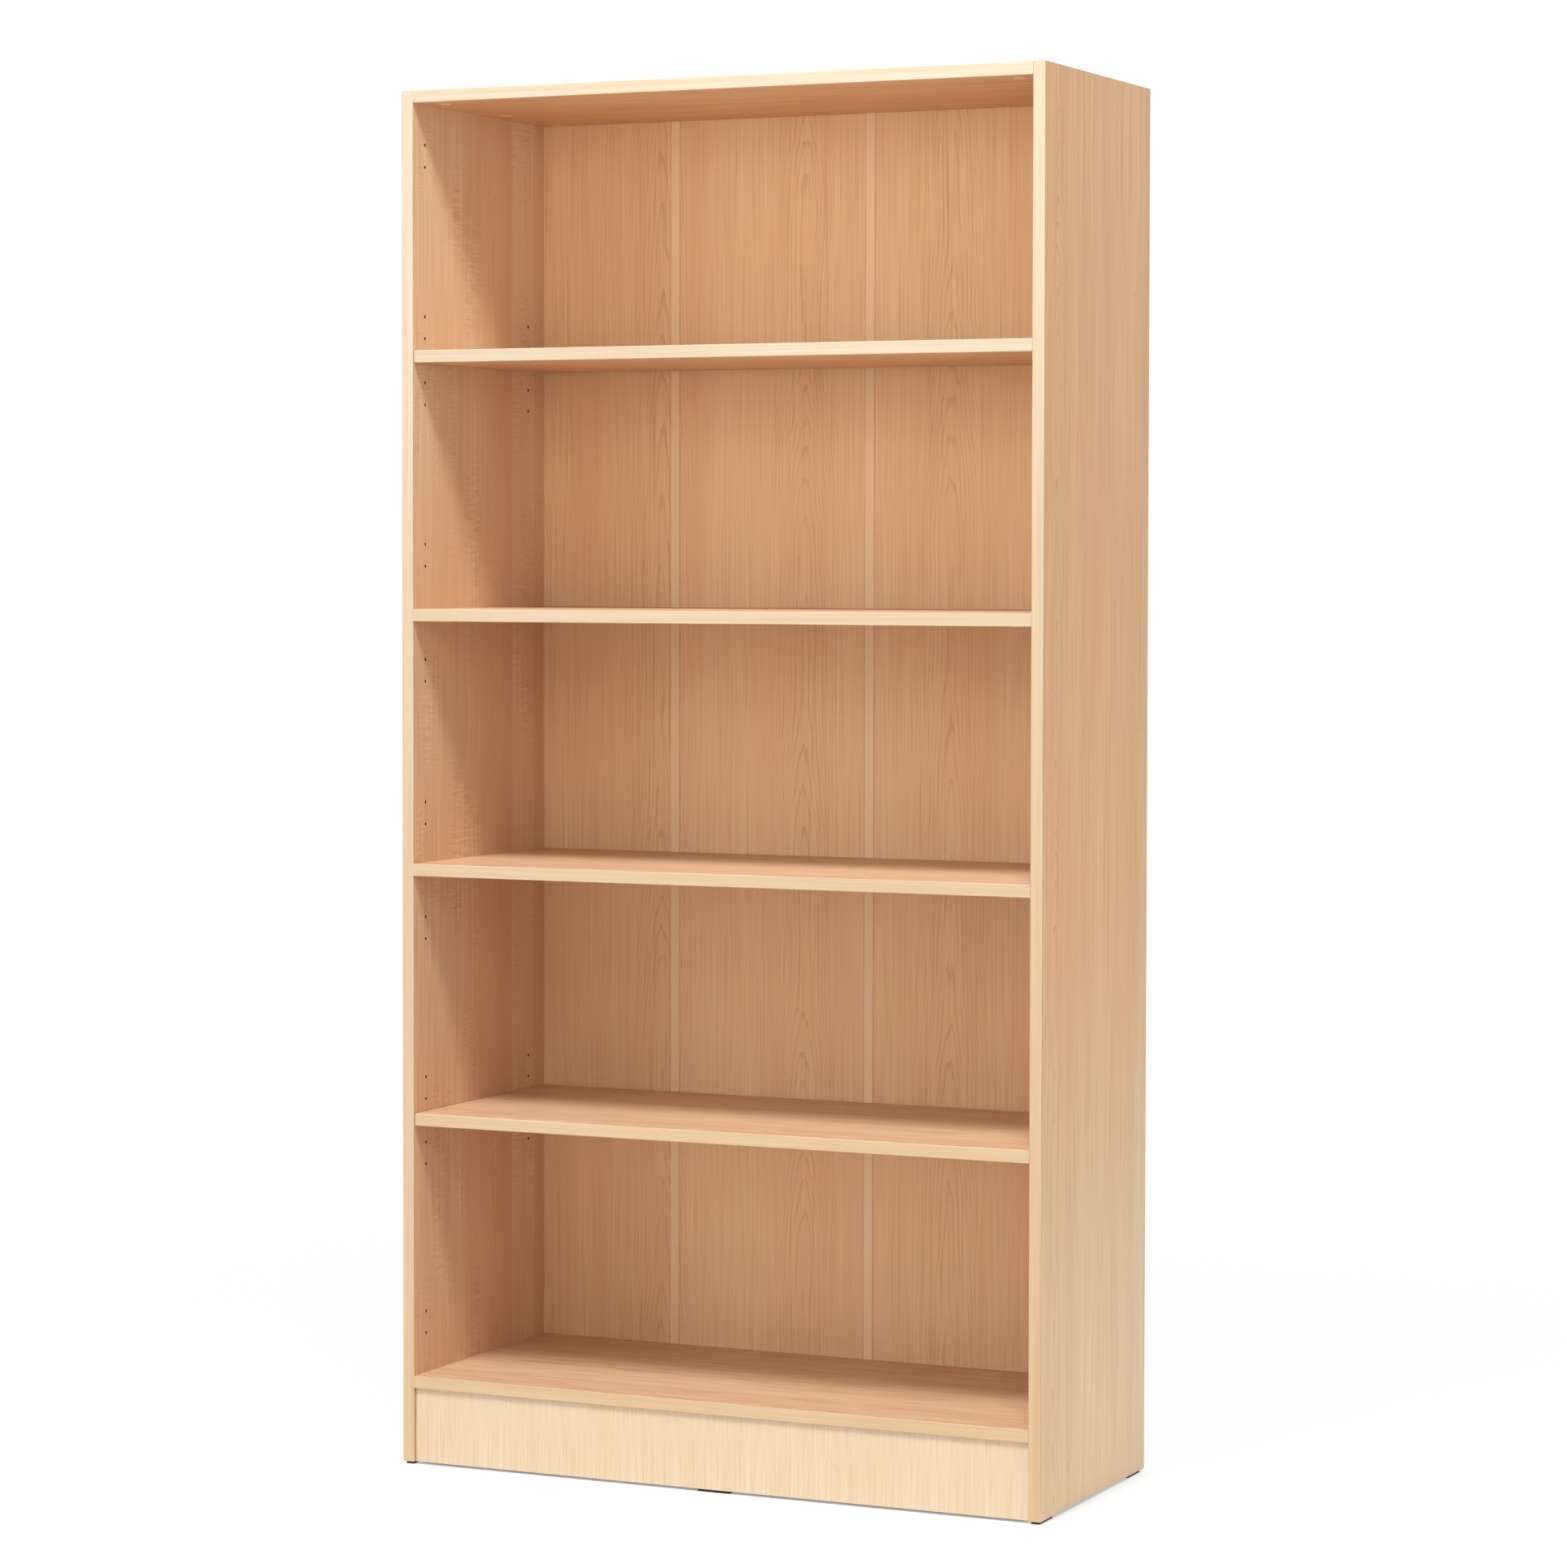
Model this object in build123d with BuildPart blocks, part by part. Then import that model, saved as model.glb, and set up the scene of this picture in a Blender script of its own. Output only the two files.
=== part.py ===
from build123d import *
import os

# A bookcase of faced board: sides, top, bottom, two fixed shelves, two adjustable shelves,
# a plinth and a back in three panels, with the fittings that hold them together.
# Millimetres, +X to the right, +Y to the back, +Z up. The origin is on the floor, under the middle.

os.makedirs("parts", exist_ok=True)

# Overall size
width = 1000.0
depth = 412.0
height = 2000.0

# Boards
board = 18.0
edge_band = 2.0
band_round = 1.0
plinth_height = 108.0
plinth_setback = 5.0
plinth_end_gap = 0.8
middle_bay = 352.5  # clear height between the two fixed shelves

# Adjustable shelves
shelf_setback = 2.5
shelf_end_gap = 1.0
shelf_rear_gap = 3.0

# Back panels and the strips that join them
back_thickness = 3.0
back_edge_gap = 0.5
rebate_width = 9.0
strip_width = 14.0
strip_lip = 0.6
strip_web = 1.0
strip_panel_gap = 0.3
left_strip_setback = 224.0  # from the left side's inner face
strip_spacing = 321.0

# Rows of holes in the sides
hole_diameter = 5.0
hole_pitch = 32.0
hole_front_setback = 37.0
hole_rear_setback = 55.0
spare_rows = 2  # rows of pin holes above and below the row in use
side_skin = 6.0  # board left behind a blind hole
bore_end_gap = 0.5
hinge_from_end_boards = 58.0
hinge_above_fixed_shelf = 62.0
hinge_below_fixed_shelf = 56.0

# Shelf pins and the notches that seat on them
pin_clearance = 0.05
pin_reach = 9.0
pin_seat = 4.0  # pin axis above the shelf's underside
pin_chamfer = 0.5
notch_side_gap = 0.5
notch_end_gap = 0.5
notch_roof_gap = 0.2

# Cam fittings
cam_diameter = 15.0
cam_clearance = 0.1
cam_setback = 34.0  # cam axis from the end of its board
cam_roof = 0.5  # metal above the bolt's head
cam_middle_setback = 188.0  # from the rear
cam_rear_setback = 23.0
cross_length = 8.0
cross_width = 1.4
cross_depth = 2.0
channel_diameter = 8.0
bolt_clearance = 0.05
bolt_head_diameter = 6.0
bolt_head_length = 4.0
bolt_shank_diameter = 4.0
bolt_collar = 1.2
cap_diameter = 18.0
cap_thickness = 1.0
cap_round = 0.6

# Wooden dowels
dowel_diameter = 8.0
dowel_clearance = 0.05
dowel_in_board = 22.0
dowel_chamfer = 1.0
plinth_dowel_margin = 28.0
plinth_dowel_spacing = 320.0

# Nails in the back
nail_diameter = 1.4
nail_head_diameter = 3.6
nail_length = 18.0
nail_clearance = 0.05
board_nail_pitch = 130.0
side_nail_pitch = 180.0
nail_end_margin = 62.0
nail_strip_margin = 25.0

# Glides
glide_length = 50.0
glide_width = 13.0
glide_height = 4.0
glide_corner = 1.5
glide_front_setback = 5.0
glide_rear_setback = 10.0
glide_recess = 1.6
glide_nail_spacing = 28.0
glide_nail_diameter = 1.8
glide_nail_head_diameter = 4.4
glide_nail_head = 0.8
glide_nail_depth = 12.0

# Depths that the pieces share
front = -depth / 2
rear = depth / 2
core_front = front + edge_band
panel_rear = rear - strip_lip
panel_front = panel_rear - back_thickness
fixed_rear = panel_front - strip_lip
hole_ys = (front + hole_front_setback, rear - hole_rear_setback)
cam_ys = (hole_ys[0], rear - cam_middle_setback, rear - cam_rear_setback)
dowel_ys = ((cam_ys[0] + cam_ys[1]) / 2, (cam_ys[1] + cam_ys[2]) / 2)
plinth_middle_y = front + plinth_setback + board / 2

# Widths that the pieces share
inner_half = width / 2 - board
side_middle_x = width / 2 - board / 2
shelf_half = inner_half - shelf_end_gap
left_strip_x = -inner_half + left_strip_setback
right_strip_x = left_strip_x + strip_spacing
back_half = inner_half + rebate_width - back_edge_gap
strip_reach = strip_web / 2 + strip_panel_gap

# Heights
side_bottom = glide_height
bottom_underside = side_bottom + plinth_height
bottom_top = bottom_underside + board
top_underside = height - board
interior_middle = (bottom_top + top_underside) / 2
upper_fixed_underside = interior_middle + middle_bay / 2
lower_fixed_underside = interior_middle - middle_bay / 2 - board
upper_fixed_top = upper_fixed_underside + board
lower_fixed_top = lower_fixed_underside + board
upper_pin_row = (upper_fixed_top + top_underside - board) / 2 + pin_seat
lower_pin_row = 2 * interior_middle - upper_pin_row
back_bottom = bottom_underside
back_top = height - back_edge_gap

# Borings
hole_depth = board - side_skin
cam_depth = board / 2 + bolt_head_diameter / 2 + bolt_clearance + cam_roof
notch_depth = pin_seat + hole_diameter / 2 + notch_roof_gap
notch_width = hole_diameter + 2 * notch_side_gap
notch_length = pin_reach + notch_end_gap - shelf_end_gap
nail_bore = nail_diameter / 2 + nail_clearance
nail_bore_depth = nail_length + bore_end_gap
glide_nail_bore = glide_nail_diameter / 2 + nail_clearance

fixed_boards = {
    "bottom_shelf": bottom_underside,
    "lower_fixed_shelf": lower_fixed_underside,
    "upper_fixed_shelf": upper_fixed_underside,
    "top_panel": top_underside,
}
adjustable_shelves = {"upper": upper_pin_row, "lower": lower_pin_row}
back_spans = {
    "back_panel_left": (-back_half, left_strip_x - strip_reach),
    "back_panel_middle": (left_strip_x + strip_reach, right_strip_x - strip_reach),
    "back_panel_right": (right_strip_x + strip_reach, back_half),
}

# A cylinder stands on its base along +Z. These turn it to run along +X, -Y or +Y.
on_base = (Align.CENTER, Align.CENTER, Align.MIN)
under_top = (Align.CENTER, Align.CENTER, Align.MAX)
along_x = (0, 90, 0)
forwards = (90, 0, 0)
backwards = (-90, 0, 0)


def spread(low, high, pitch):
    """Return evenly spaced values from low to high, about one pitch apart."""
    gaps = max(1, round((high - low) / pitch))
    return [low + (high - low) * i / gaps for i in range(gaps + 1)]


def inward(places):
    """Return a location on each side's inner face for each (y, z), with local X into the case."""
    left = [Location((-inner_half, y, z)) for y, z in places]
    right = [Location((inner_half, y, z), (0, 0, 180)) for y, z in places]
    return left + right


def save(piece, label):
    """Name a finished piece and write its file."""
    piece.part.label = label
    export_step(piece.part, f"parts/{label}.step")


def save_copies(label, template, places):
    """Make one piece of separate copies of a small part, and write its file."""
    with BuildPart() as copies:
        with Locations(*places):
            add(template)
    save(copies, label)


def front_band(label, half_length, underside, face):
    """Make the band on a level board's front, with its two long front edges rounded."""
    with BuildPart() as band:
        with BuildSketch(Plane.XZ.offset(-face)):
            with Locations((0, underside)):
                Rectangle(2 * half_length, board, align=(Align.CENTER, Align.MIN))
        extrude(amount=-edge_band)
        round_front_edges(band)
    save(band, label)


def round_front_edges(band):
    """Round the two long front edges of a band, within its thickness."""
    front_face = band.faces().sort_by(Axis.Y)[0]
    fillet(front_face.edges().sort_by(SortBy.LENGTH)[-2:], radius=min(band_round, 0.9 * edge_band))


def rod(diameter, low, high, end_chamfer):
    """Return a round rod along X from low to high, chamfered at both ends."""
    with BuildPart() as turned:
        with Locations((low, 0, 0)):
            Cylinder(diameter / 2, high - low, rotation=along_x, align=on_base)
        chamfer(turned.edges().filter_by(GeomType.CIRCLE), length=end_chamfer)
    return turned.part


# Places of the holes in the sides, as (y, z)
pin_holes = [
    (y, row + step * hole_pitch)
    for row in adjustable_shelves.values()
    for step in range(-spare_rows, spare_rows + 1)
    for y in hole_ys
]
hinge_starts = (
    top_underside - hinge_from_end_boards - hole_pitch,
    upper_fixed_top + hinge_above_fixed_shelf,
    upper_fixed_underside - hinge_below_fixed_shelf - hole_pitch,
    lower_fixed_top + hinge_below_fixed_shelf,
    lower_fixed_underside - hinge_above_fixed_shelf - hole_pitch,
    bottom_top + hinge_from_end_boards,
)
hinge_holes = [(hole_ys[0], start + step) for start in hinge_starts for step in (0, hole_pitch)]
board_levels = [underside + board / 2 for underside in fixed_boards.values()]
bolt_holes = [(y, level) for level in board_levels for y in cam_ys]
dowel_holes = [(y, level) for level in board_levels for y in dowel_ys]
plinth_end_holes = [
    (plinth_middle_y, z)
    for z in (side_bottom + plinth_dowel_margin, bottom_underside - plinth_dowel_margin)
]
plinth_top_xs = (-plinth_dowel_spacing, 0, plinth_dowel_spacing)

cam_middle_x = inner_half - cam_setback
cam_places = [(side * cam_middle_x, y) for side in (-1, 1) for y in cam_ys]

# Places of the nails in the back: along the fixed boards, then up the sides' rebates
board_nail_limit = inner_half - nail_end_margin
board_nail_xs = [
    x
    for low, high in back_spans.values()
    for x in spread(
        max(low + nail_strip_margin, -board_nail_limit),
        min(high - nail_strip_margin, board_nail_limit),
        board_nail_pitch,
    )
]
side_nail_x = inner_half + rebate_width / 2
side_nail_zs = [
    z
    for low, high in zip(board_levels, board_levels[1:])
    for z in spread(low + nail_end_margin, high - nail_end_margin, side_nail_pitch)
]
back_nail_places = [(x, z) for x in board_nail_xs for z in board_levels]
back_nail_places += [(side * side_nail_x, z) for side in (-1, 1) for z in side_nail_zs]

# Places of the glides and of the nails along each glide
glide_front_y = front + glide_front_setback + glide_length / 2
glide_rear_y = rear - glide_rear_setback - glide_length / 2
side_glide_places = [
    Location((side * side_middle_x, y, 0)) for side in (-1, 1) for y in (glide_front_y, glide_rear_y)
]
plinth_glide_place = Location((0, plinth_middle_y, 0), (0, 0, 90))
glide_nail_steps = (-glide_nail_spacing / 2, glide_nail_spacing / 2)

# Sides: full height, rebated behind for the back and bored on the inner face
with BuildPart() as left_side:
    with BuildSketch(Plane.XY.offset(side_bottom)):
        with Locations((-inner_half, core_front)):
            Rectangle(board, rear - core_front, align=(Align.MAX, Align.MIN))
        with Locations((-inner_half, panel_front)):
            Rectangle(rebate_width, rear - panel_front, align=(Align.MAX, Align.MIN), mode=Mode.SUBTRACT)
    extrude(amount=height - side_bottom)
    with Locations(*[(-inner_half, y, z) for y, z in pin_holes + hinge_holes + bolt_holes]):
        Cylinder(hole_diameter / 2, hole_depth, rotation=along_x, align=under_top, mode=Mode.SUBTRACT)
    with Locations(*[(-inner_half, y, z) for y, z in dowel_holes + plinth_end_holes]):
        Cylinder(dowel_diameter / 2, hole_depth, rotation=along_x, align=under_top, mode=Mode.SUBTRACT)
    with Locations(*[(-side_nail_x, panel_rear, z) for z in side_nail_zs]):
        Cylinder(nail_bore, nail_bore_depth, rotation=forwards, align=on_base, mode=Mode.SUBTRACT)
    with Locations(
        *[
            (-side_middle_x, y + step, side_bottom)
            for y in (glide_front_y, glide_rear_y)
            for step in glide_nail_steps
        ]
    ):
        Cylinder(glide_nail_bore, glide_nail_depth, align=on_base, mode=Mode.SUBTRACT)
save(left_side, "left_side")

with BuildPart() as right_side:
    mirror(left_side.part, about=Plane.YZ)
save(right_side, "right_side")

with BuildPart() as left_side_edge_band:
    with BuildSketch(Plane.XY.offset(side_bottom)):
        with Locations((-inner_half, front)):
            Rectangle(board, edge_band, align=(Align.MAX, Align.MIN))
    extrude(amount=height - side_bottom)
    round_front_edges(left_side_edge_band)
save(left_side_edge_band, "left_side_edge_band")

with BuildPart() as right_side_edge_band:
    mirror(left_side_edge_band.part, about=Plane.YZ)
save(right_side_edge_band, "right_side_edge_band")

# Fixed boards: bored from below for cams, and at the ends for bolts and dowels
for label, underside in fixed_boards.items():
    level = underside + board / 2
    with BuildPart() as fixed_board:
        with BuildSketch(Plane.XY.offset(underside)):
            with Locations((0, core_front)):
                Rectangle(2 * inner_half, fixed_rear - core_front, align=(Align.CENTER, Align.MIN))
        extrude(amount=board)
        with Locations(*[(x, y, underside) for x, y in cam_places]):
            Cylinder(cam_diameter / 2, cam_depth, align=on_base, mode=Mode.SUBTRACT)
        with Locations(*inward([(y, level) for y in cam_ys])):
            Cylinder(channel_diameter / 2, cam_setback, rotation=along_x, align=on_base, mode=Mode.SUBTRACT)
        with Locations(*inward([(y, level) for y in dowel_ys])):
            Cylinder(dowel_diameter / 2, dowel_in_board, rotation=along_x, align=on_base, mode=Mode.SUBTRACT)
        with Locations(*[(x, panel_rear, level) for x in board_nail_xs]):
            Cylinder(nail_bore, nail_bore_depth, rotation=forwards, align=on_base, mode=Mode.SUBTRACT)
        if label == "bottom_shelf":
            with Locations(*[(x, plinth_middle_y, underside) for x in plinth_top_xs]):
                Cylinder(dowel_diameter / 2, hole_depth, align=on_base, mode=Mode.SUBTRACT)
    save(fixed_board, label)
    front_band(f"{label}_edge_band", inner_half, underside, front)

# Plinth: under the front of the bottom shelf, doweled to it and to both sides
with BuildPart() as plinth:
    with BuildSketch(Plane.XY.offset(side_bottom)):
        with Locations((0, plinth_middle_y)):
            Rectangle(2 * (inner_half - plinth_end_gap), board)
    extrude(amount=plinth_height)
    with Locations(*inward(plinth_end_holes)):
        Cylinder(dowel_diameter / 2, dowel_in_board, rotation=along_x, align=on_base, mode=Mode.SUBTRACT)
    with Locations(*[(x, plinth_middle_y, bottom_underside) for x in plinth_top_xs]):
        Cylinder(dowel_diameter / 2, dowel_in_board, align=under_top, mode=Mode.SUBTRACT)
    with Locations(*[(step, plinth_middle_y, side_bottom) for step in glide_nail_steps]):
        Cylinder(glide_nail_bore, glide_nail_depth, align=on_base, mode=Mode.SUBTRACT)
save(plinth, "plinth")

# Adjustable shelves: notched underneath at both ends, so that they seat over their pins
shelf_front = front + shelf_setback
shelf_core_front = shelf_front + edge_band
shelf_depth = fixed_rear - shelf_rear_gap - shelf_core_front
shelf_pin = rod(hole_diameter - 2 * pin_clearance, bore_end_gap - hole_depth, pin_reach, pin_chamfer)
for name, row in adjustable_shelves.items():
    underside = row - pin_seat
    with BuildPart() as adjustable_shelf:
        with BuildSketch(Plane.XY.offset(underside)):
            with Locations((0, shelf_core_front)):
                Rectangle(2 * shelf_half, shelf_depth, align=(Align.CENTER, Align.MIN))
        extrude(amount=board)
        with BuildSketch(Plane.XY.offset(underside)):
            with Locations(*[(side * shelf_half, y) for side in (-1, 1) for y in hole_ys]):
                Rectangle(2 * notch_length, notch_width)
        extrude(amount=notch_depth, mode=Mode.SUBTRACT)
    save(adjustable_shelf, f"{name}_adjustable_shelf")
    front_band(f"{name}_adjustable_shelf_edge_band", shelf_half, underside, shelf_front)
    save_copies(f"{name}_shelf_pins", shelf_pin, inward([(y, row) for y in hole_ys]))

# Back: three thin panels, let into the sides and nailed to the fixed boards
for label, (low, high) in back_spans.items():
    with BuildPart() as back_panel:
        with BuildSketch(Plane.XZ.offset(-panel_front)):
            with Locations((low, back_bottom)):
                Rectangle(high - low, back_top - back_bottom, align=(Align.MIN, Align.MIN))
            with Locations(*[(x, z) for x, z in back_nail_places if low < x < high]):
                Circle(nail_bore, mode=Mode.SUBTRACT)
        extrude(amount=-back_thickness)
    save(back_panel, label)

# Strips of H section that hold the edges of neighbouring back panels
for label, strip_x in (("joining_strip_left", left_strip_x), ("joining_strip_right", right_strip_x)):
    with BuildPart() as joining_strip:
        with BuildSketch(Plane.XY.offset(back_bottom)):
            with Locations((strip_x, (panel_front + panel_rear) / 2)):
                Rectangle(strip_width, back_thickness + 2 * strip_lip)
                Rectangle(strip_width, back_thickness, mode=Mode.SUBTRACT)
                Rectangle(strip_web, back_thickness)
        extrude(amount=back_top - back_bottom)
    save(joining_strip, label)

# Nails of the back, with heads that lie on the panels and end level with the strips
with BuildPart() as back_nail:
    Cylinder(nail_diameter / 2, nail_length, rotation=forwards, align=on_base)
    Cylinder(nail_head_diameter / 2, strip_lip, rotation=backwards, align=on_base)
save_copies("back_nails", back_nail.part, [Location((x, panel_rear, z)) for x, z in back_nail_places])

# Cam fitting, drawn at a side's inner face at mid-board height: bolt, housing and cover cap
head_start = cam_setback - bolt_head_length / 2
head_end = cam_setback + bolt_head_length / 2
thread_start = bore_end_gap - hole_depth
thread_radius = hole_diameter / 2 - bolt_clearance
collar_radius = channel_diameter / 2 - bolt_clearance
shank_radius = bolt_shank_diameter / 2
head_radius = bolt_head_diameter / 2

with BuildPart() as cam_bolt:
    with BuildSketch(Plane.XZ):
        with BuildLine():
            Polyline(
                (thread_start, 0),
                (thread_start, thread_radius),
                (0, thread_radius),
                (0, collar_radius),
                (bolt_collar, collar_radius),
                (bolt_collar, shank_radius),
                (head_start, shank_radius),
                (head_start, head_radius),
                (head_end, head_radius),
                (head_end, 0),
                close=True,
            )
        make_face()
    revolve(axis=Axis.X)
save_copies("cam_bolts", cam_bolt.part, inward(bolt_holes))

with BuildPart() as cam_housing:
    with Locations((cam_setback, 0, -board / 2)):
        Cylinder(cam_diameter / 2 - cam_clearance, cam_depth - cam_clearance, align=on_base)
        Box(cross_length, cross_width, cross_depth, align=on_base, mode=Mode.SUBTRACT)
        Box(cross_width, cross_length, cross_depth, align=on_base, mode=Mode.SUBTRACT)
    Cylinder(
        shank_radius + bolt_clearance, cam_setback, rotation=along_x, align=on_base, mode=Mode.SUBTRACT
    )
    with Locations((cam_setback, 0, 0)):
        Cylinder(
            head_radius + bolt_clearance,
            bolt_head_length + 2 * bolt_clearance,
            rotation=along_x,
            mode=Mode.SUBTRACT,
        )
save_copies("cam_housings", cam_housing.part, inward(bolt_holes))

stub_length = cross_length - 2 * cam_clearance
stub_width = cross_width - 2 * cam_clearance
stub_height = cross_depth - cam_clearance
with BuildPart() as cam_cap:
    with Locations((cam_setback, 0, -board / 2)):
        Cylinder(cap_diameter / 2, cap_thickness, align=under_top)
    rim = cam_cap.edges().sort_by(Axis.Z)[0]
    fillet(rim, radius=min(cap_round, 0.9 * cap_thickness))
    with Locations((cam_setback, 0, -board / 2)):
        Box(stub_length, stub_width, stub_height, align=on_base)
        Box(stub_width, stub_length, stub_height, align=on_base)
save_copies("cam_cover_caps", cam_cap.part, inward(bolt_holes))

# Dowels at the ends of the fixed boards, and at the ends and the top of the plinth
dowel = rod(
    dowel_diameter - 2 * dowel_clearance,
    bore_end_gap - hole_depth,
    dowel_in_board - bore_end_gap,
    dowel_chamfer,
)
save_copies("joint_dowels", dowel, inward(dowel_holes))
plinth_top_places = [Location((x, plinth_middle_y, bottom_underside), along_x) for x in plinth_top_xs]
save_copies("plinth_dowels", dowel, inward(plinth_end_holes) + plinth_top_places)

# Glides: plain blocks with two recessed nails each
with BuildPart() as glide:
    with BuildSketch():
        RectangleRounded(glide_width, glide_length, glide_corner)
        with Locations(*[(0, step) for step in glide_nail_steps]):
            Circle(glide_nail_bore, mode=Mode.SUBTRACT)
    extrude(amount=glide_height)
    with Locations(*[(0, step, 0) for step in glide_nail_steps]):
        Cylinder(
            glide_nail_head_diameter / 2 + nail_clearance, glide_recess, align=on_base, mode=Mode.SUBTRACT
        )
save_copies("side_glides", glide.part, side_glide_places)
save_copies("plinth_glide", glide.part, [plinth_glide_place])

with BuildPart() as glide_nail:
    with Locations((0, 0, glide_recess)):
        Cylinder(glide_nail_head_diameter / 2, glide_nail_head, align=under_top)
        Cylinder(
            glide_nail_diameter / 2,
            glide_height - glide_recess + glide_nail_depth - bore_end_gap,
            align=on_base,
        )
glide_nail_places = [
    place * Location((0, step, 0))
    for place in [*side_glide_places, plinth_glide_place]
    for step in glide_nail_steps
]
save_copies("glide_nails", glide_nail.part, glide_nail_places)
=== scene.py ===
"""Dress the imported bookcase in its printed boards, bands and fittings, and set up the photograph's view."""

import logging
import math
from dataclasses import dataclass
from enum import Enum
from typing import Any, Optional, Union

import bpy
import numpy as np
from mathutils import Matrix, Vector


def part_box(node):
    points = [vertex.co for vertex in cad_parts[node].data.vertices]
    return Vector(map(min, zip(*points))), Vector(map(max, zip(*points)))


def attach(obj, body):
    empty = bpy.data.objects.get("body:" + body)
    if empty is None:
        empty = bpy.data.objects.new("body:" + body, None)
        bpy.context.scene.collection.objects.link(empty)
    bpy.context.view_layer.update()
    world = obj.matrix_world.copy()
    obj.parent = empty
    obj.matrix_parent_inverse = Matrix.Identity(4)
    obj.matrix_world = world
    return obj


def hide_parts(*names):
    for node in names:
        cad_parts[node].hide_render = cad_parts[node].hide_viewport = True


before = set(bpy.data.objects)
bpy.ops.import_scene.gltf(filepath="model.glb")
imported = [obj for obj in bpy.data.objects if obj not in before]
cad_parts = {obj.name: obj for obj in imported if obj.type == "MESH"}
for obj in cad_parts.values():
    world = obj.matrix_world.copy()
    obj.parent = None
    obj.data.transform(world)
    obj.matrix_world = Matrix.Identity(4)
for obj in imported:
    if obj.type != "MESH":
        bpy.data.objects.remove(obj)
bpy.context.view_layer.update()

log = logging.getLogger("bookcase")

Colour = tuple[float, float, float]


def screen(red: int, green: int, blue: int) -> Colour:
    """Return the linear colour of eight-bit screen values."""
    value = np.array([red, green, blue]) / 255
    linear = np.where(value <= 0.04045, value / 12.92, ((value + 0.055) / 1.055) ** 2.4)
    return tuple(float(part) for part in linear)


class Wire:
    """An output socket that takes part in Python expressions, with one Math node for each operator."""

    def __init__(self, graph: "Graph", socket: Optional[bpy.types.NodeSocket]) -> None:
        """Keep the socket and the graph that it belongs to."""
        self.graph = graph
        self.socket = socket

    def __add__(self, other: "Value") -> "Wire":
        """Return the sum."""
        return self.graph.math("ADD", self, other)

    def __radd__(self, other: "Value") -> "Wire":
        """Return the sum, with the wire on the right."""
        return self.graph.math("ADD", other, self)

    def __sub__(self, other: "Value") -> "Wire":
        """Return the difference."""
        return self.graph.math("SUBTRACT", self, other)

    def __rsub__(self, other: "Value") -> "Wire":
        """Return the difference, with the wire on the right."""
        return self.graph.math("SUBTRACT", other, self)

    def __mul__(self, other: "Value") -> "Wire":
        """Return the product."""
        return self.graph.math("MULTIPLY", self, other)

    def __rmul__(self, other: "Value") -> "Wire":
        """Return the product, with the wire on the right."""
        return self.graph.math("MULTIPLY", other, self)

    def __gt__(self, other: "Value") -> "Wire":
        """Return 1 where the wire is the greater, else 0."""
        return self.graph.math("GREATER_THAN", self, other)

    def __lt__(self, other: "Value") -> "Wire":
        """Return 1 where the wire is the smaller, else 0."""
        return self.graph.math("LESS_THAN", self, other)

    def __abs__(self) -> "Wire":
        """Return the size without its sign."""
        return self.graph.math("ABSOLUTE", self)

    def also(self, output: Union[str, int]) -> "Wire":
        """Return another output of the same node."""
        return Wire(self.graph, self.socket.node.outputs[output])

    def rise(self, low: float, high: float) -> "Wire":
        """Return a smooth step from 0 at low to 1 at high."""
        sockets = {"Value": self, "From Min": low, "From Max": high}
        return self.graph.node("ShaderNodeMapRange", {"interpolation_type": "SMOOTHSTEP"}, sockets)


Value = Union[Wire, float]
Paint = Union[Wire, Colour]


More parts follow.
